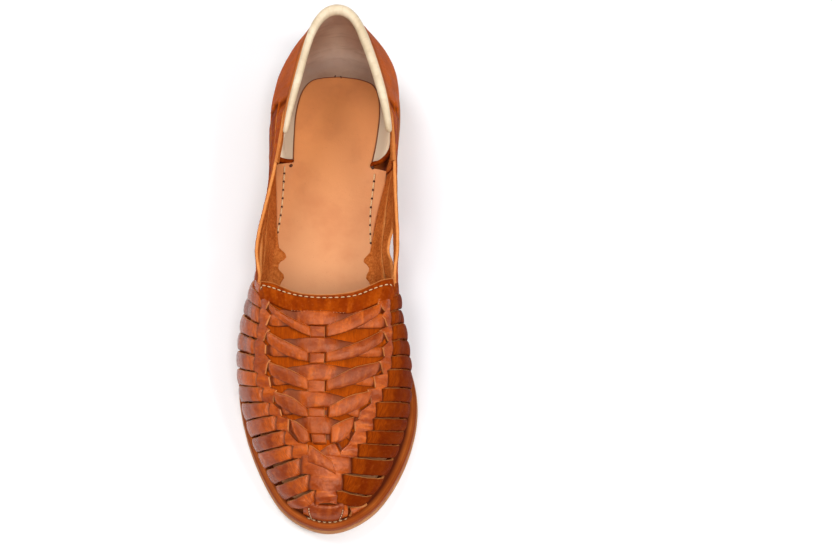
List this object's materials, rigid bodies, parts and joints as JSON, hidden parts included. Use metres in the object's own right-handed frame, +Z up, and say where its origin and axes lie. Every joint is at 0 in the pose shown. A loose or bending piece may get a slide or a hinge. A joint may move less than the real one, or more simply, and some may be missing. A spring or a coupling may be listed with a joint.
{
  "type": "woven leather slip-on flat",
  "caption": "Right-foot woven leather slip-on flat with closed heel counter, open strapped waist, padded collar roll, leather sole and low stacked heel.",
  "frame": {"origin": "middle of the sole's outline, on the floor", "axes": "-Y to the toe, +Y to the heel, +X to the big-toe side, +Z up"},
  "size_m": [0.0887, 0.259, 0.0728],
  "materials": {
    "sole_leather": "pale natural sole leather with a rubbed edge",
    "heel_stack": "stacked leather, plain",
    "welt_leather": "orange-brown stained leather with a dark burnished rim",
    "insole_leather": "matt vegetable-tanned leather",
    "upper_leather": "glossy hand-stained orange-brown leather, napped inside",
    "collar_leather": "soft cream leather"
  },
  "bodies": {
    "root": {"outsole": "sole_leather", "heel": "heel_stack", "midsole": "welt_leather", "insole": "insole_leather", "upper": "upper_leather", "collar_roll": "collar_leather"}
  },
  "joints": []
}
